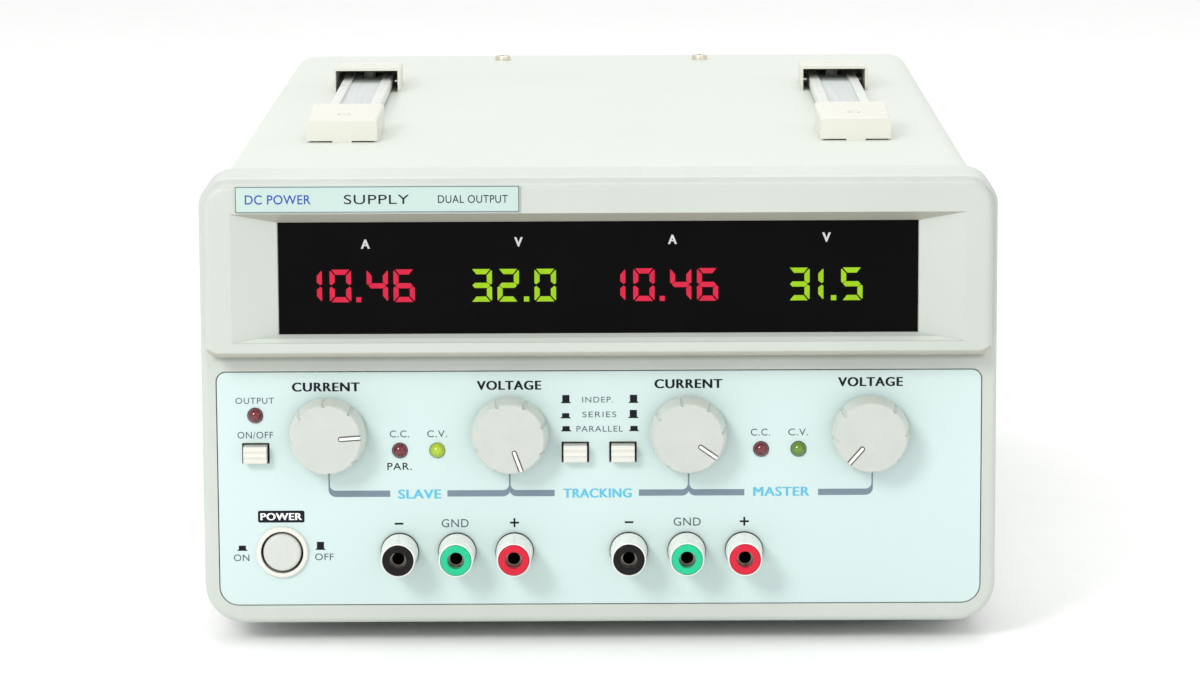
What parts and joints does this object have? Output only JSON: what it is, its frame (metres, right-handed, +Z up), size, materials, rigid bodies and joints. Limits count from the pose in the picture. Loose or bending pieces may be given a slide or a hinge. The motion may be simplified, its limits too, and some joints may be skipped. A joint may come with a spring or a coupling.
{
  "type": "bench power supply",
  "caption": "Dual-output linear bench power supply: display bezel, rotary controls, push buttons, binding posts, vented steel case, strap handles and rear fan.",
  "frame": {"origin": "middle of the footprint's bounding box, on the plane that the rubber feet stand on", "axes": "+X to the right of a person facing the controls, +Y from the controls to the back, +Z up"},
  "size_m": [0.255, 0.412, 0.1598],
  "materials": {
    "frame_plastic": "fine-textured moulded plastic",
    "window": "smoked acrylic",
    "plate_print": "printed plate",
    "panel_overlay": "printed aqua overlay on sheet",
    "cover_paint": "fine powder coat",
    "sheet_steel": "galvanised sheet",
    "rear_paint": "powder coat",
    "screw_steel": "zinc plated",
    "foot_rubber": "matt rubber",
    "handle_plastic": "moulded plastic",
    "knob_plastic": "satin moulded plastic",
    "shaft_steel": "turned",
    "component_grey": "moulded",
    "ivory": "ivory moulded plastic",
    "black_plastic": "moulded",
    "green_plastic": "moulded",
    "red_plastic": "moulded",
    "socket_metal": "nickel plated",
    "red_lens": "diffused lens, unlit",
    "green_lens_lit": "diffused lens, lit",
    "green_lens": "diffused lens, unlit",
    "circuit_board": "solder-masked laminate",
    "capacitor_sleeve": "shrink sleeve",
    "lamination_steel": "varnished laminations",
    "copper_winding": "enamelled copper under tape",
    "heatsink_aluminium": "extruded",
    "guard_wire": "plated wire"
  },
  "bodies": {
    "case": {"front_frame": "frame_plastic", "display_bezel": "frame_plastic", "display_window": "window", "nameplate": "plate_print", "control_panel": "panel_overlay", "top_cover": "cover_paint", "chassis_pan": "sheet_steel", "rear_panel": "rear_paint", "case_screws": "screw_steel", "panel_nuts": "screw_steel", "rubber_feet": "foot_rubber", "handle_end_caps": "handle_plastic", "potentiometers": "component_grey", "switch_bodies": "component_grey", "power_button_ring": "ivory", "terminal_bushes": "black_plastic", "fan_frame": "black_plastic", "mains_inlet": "black_plastic", "readout_modules": "black_plastic", "power_transistors": "black_plastic", "terminal_studs": "socket_metal", "red_leds": "red_lens", "slave_cv_led": "green_lens_lit", "master_cv_led": "green_lens", "display_board": "circuit_board", "control_board": "circuit_board", "main_board": "circuit_board", "filter_capacitors": "capacitor_sleeve", "transformer_cores": "lamination_steel", "transformer_windings": "copper_winding", "heatsinks": "heatsink_aluminium", "fan_guard": "guard_wire"},
    "slave_current_control": {"slave_current_knob": "knob_plastic", "slave_current_shaft": "shaft_steel"},
    "slave_voltage_control": {"slave_voltage_knob": "knob_plastic", "slave_voltage_shaft": "shaft_steel"},
    "master_current_control": {"master_current_knob": "knob_plastic", "master_current_shaft": "shaft_steel"},
    "master_voltage_control": {"master_voltage_knob": "knob_plastic", "master_voltage_shaft": "shaft_steel"},
    "power_push": {"power_button": "ivory"},
    "output_push": {"output_button": "ivory"},
    "left_tracking_push": {"left_tracking_button": "ivory"},
    "right_tracking_push": {"right_tracking_button": "ivory"},
    "slave_negative_core": {"slave_negative_ring": "black_plastic"},
    "slave_negative_grip": {"slave_negative_collar": "ivory"},
    "slave_ground_core": {"slave_ground_ring": "green_plastic"},
    "slave_ground_grip": {"slave_ground_collar": "ivory"},
    "slave_positive_core": {"slave_positive_ring": "red_plastic"},
    "slave_positive_grip": {"slave_positive_collar": "ivory"},
    "master_negative_core": {"master_negative_ring": "black_plastic"},
    "master_negative_grip": {"master_negative_collar": "ivory"},
    "master_ground_core": {"master_ground_ring": "green_plastic"},
    "master_ground_grip": {"master_ground_collar": "ivory"},
    "master_positive_core": {"master_positive_ring": "red_plastic"},
    "master_positive_grip": {"master_positive_collar": "ivory"},
    "left_strap": {"left_handle_strap": "handle_plastic"},
    "right_strap": {"right_handle_strap": "handle_plastic"},
    "fan": {"fan_rotor": "black_plastic"},
    "fuse_holder": {"fuse_drawer": "black_plastic"}
  },
  "joints": [
    {"name": "slave_current_turn", "type": "hinge", "parent": "case", "child": "slave_current_control", "pos_m": [-0.087, -0.191, 0.0692], "axis": [0, 1, 0], "range_deg": [-226, 74]},
    {"name": "slave_voltage_turn", "type": "hinge", "parent": "case", "child": "slave_voltage_control", "pos_m": [-0.0286, -0.191, 0.0692], "axis": [0, 1, 0], "range_deg": [-300, 0]},
    {"name": "master_current_turn", "type": "hinge", "parent": "case", "child": "master_current_control", "pos_m": [0.0286, -0.191, 0.0692], "axis": [0, 1, 0], "range_deg": [-265, 35]},
    {"name": "master_voltage_turn", "type": "hinge", "parent": "case", "child": "master_voltage_control", "pos_m": [0.087, -0.191, 0.0692], "axis": [0, 1, 0], "range_deg": [-1, 299]},
    {"name": "power_press", "type": "slide", "parent": "case", "child": "power_push", "axis": [0, 1, 0], "range_m": [-0.0045, 0.0008]},
    {"name": "output_press", "type": "slide", "parent": "case", "child": "output_push", "axis": [0, 1, 0], "range_m": [0, 0.0035], "stiffness_N_per_m": 150, "springref_m": -0.001},
    {"name": "left_tracking_press", "type": "slide", "parent": "case", "child": "left_tracking_push", "axis": [0, 1, 0], "range_m": [0, 0.0035], "stiffness_N_per_m": 150, "springref_m": -0.001},
    {"name": "right_tracking_press", "type": "slide", "parent": "case", "child": "right_tracking_push", "axis": [0, 1, 0], "range_m": [0, 0.0035], "stiffness_N_per_m": 150, "springref_m": -0.001},
    {"name": "slave_negative_travel", "type": "slide", "parent": "case", "child": "slave_negative_core", "axis": [0, -1, 0], "range_m": [0, 0.003]},
    {"name": "slave_negative_unscrew", "type": "hinge", "parent": "slave_negative_core", "child": "slave_negative_grip", "pos_m": [-0.0644, -0.191, 0.0307], "axis": [0, 1, 0], "range_deg": [-1084, 0]},
    {"name": "slave_ground_travel", "type": "slide", "parent": "case", "child": "slave_ground_core", "axis": [0, -1, 0], "range_m": [0, 0.003]},
    {"name": "slave_ground_unscrew", "type": "hinge", "parent": "slave_ground_core", "child": "slave_ground_grip", "pos_m": [-0.0459, -0.191, 0.0307], "axis": [0, 1, 0], "range_deg": [-1084, 0]},
    {"name": "slave_positive_travel", "type": "slide", "parent": "case", "child": "slave_positive_core", "axis": [0, -1, 0], "range_m": [0, 0.003]},
    {"name": "slave_positive_unscrew", "type": "hinge", "parent": "slave_positive_core", "child": "slave_positive_grip", "pos_m": [-0.0274, -0.191, 0.0307], "axis": [0, 1, 0], "range_deg": [-1084, 0]},
    {"name": "master_negative_travel", "type": "slide", "parent": "case", "child": "master_negative_core", "axis": [0, -1, 0], "range_m": [0, 0.003]},
    {"name": "master_negative_unscrew", "type": "hinge", "parent": "master_negative_core", "child": "master_negative_grip", "pos_m": [0.0094, -0.191, 0.0307], "axis": [0, 1, 0], "range_deg": [-1084, 0]},
    {"name": "master_ground_travel", "type": "slide", "parent": "case", "child": "master_ground_core", "axis": [0, -1, 0], "range_m": [0, 0.003]},
    {"name": "master_ground_unscrew", "type": "hinge", "parent": "master_ground_core", "child": "master_ground_grip", "pos_m": [0.028, -0.191, 0.0307], "axis": [0, 1, 0], "range_deg": [-1084, 0]},
    {"name": "master_positive_travel", "type": "slide", "parent": "case", "child": "master_positive_core", "axis": [0, -1, 0], "range_m": [0, 0.003]},
    {"name": "master_positive_unscrew", "type": "hinge", "parent": "master_positive_core", "child": "master_positive_grip", "pos_m": [0.0465, -0.191, 0.0307], "axis": [0, 1, 0], "range_deg": [-1084, 0]},
    {"name": "left_strap_lift", "type": "slide", "parent": "case", "child": "left_strap", "axis": [0, 0, 1], "range_m": [0, 0.0016]},
    {"name": "right_strap_lift", "type": "slide", "parent": "case", "child": "right_strap", "axis": [0, 0, 1], "range_m": [0, 0.0016]},
    {"name": "fan_spin", "type": "hinge", "parent": "case", "child": "fan", "pos_m": [-0.02, 0.187, 0.089], "axis": [0, 1, 0], "continuous": true},
    {"name": "fuse_drawer_slide", "type": "slide", "parent": "case", "child": "fuse_holder", "axis": [0, 1, 0], "range_m": [0, 0.018]}
  ],
  "couplings": [
    {"joint": "slave_negative_unscrew", "follows": "slave_negative_travel", "rad_per_m": -6283.2},
    {"joint": "slave_ground_unscrew", "follows": "slave_ground_travel", "rad_per_m": -6283.2},
    {"joint": "slave_positive_unscrew", "follows": "slave_positive_travel", "rad_per_m": -6283.2},
    {"joint": "master_negative_unscrew", "follows": "master_negative_travel", "rad_per_m": -6283.2},
    {"joint": "master_ground_unscrew", "follows": "master_ground_travel", "rad_per_m": -6283.2},
    {"joint": "master_positive_unscrew", "follows": "master_positive_travel", "rad_per_m": -6283.2}
  ]
}
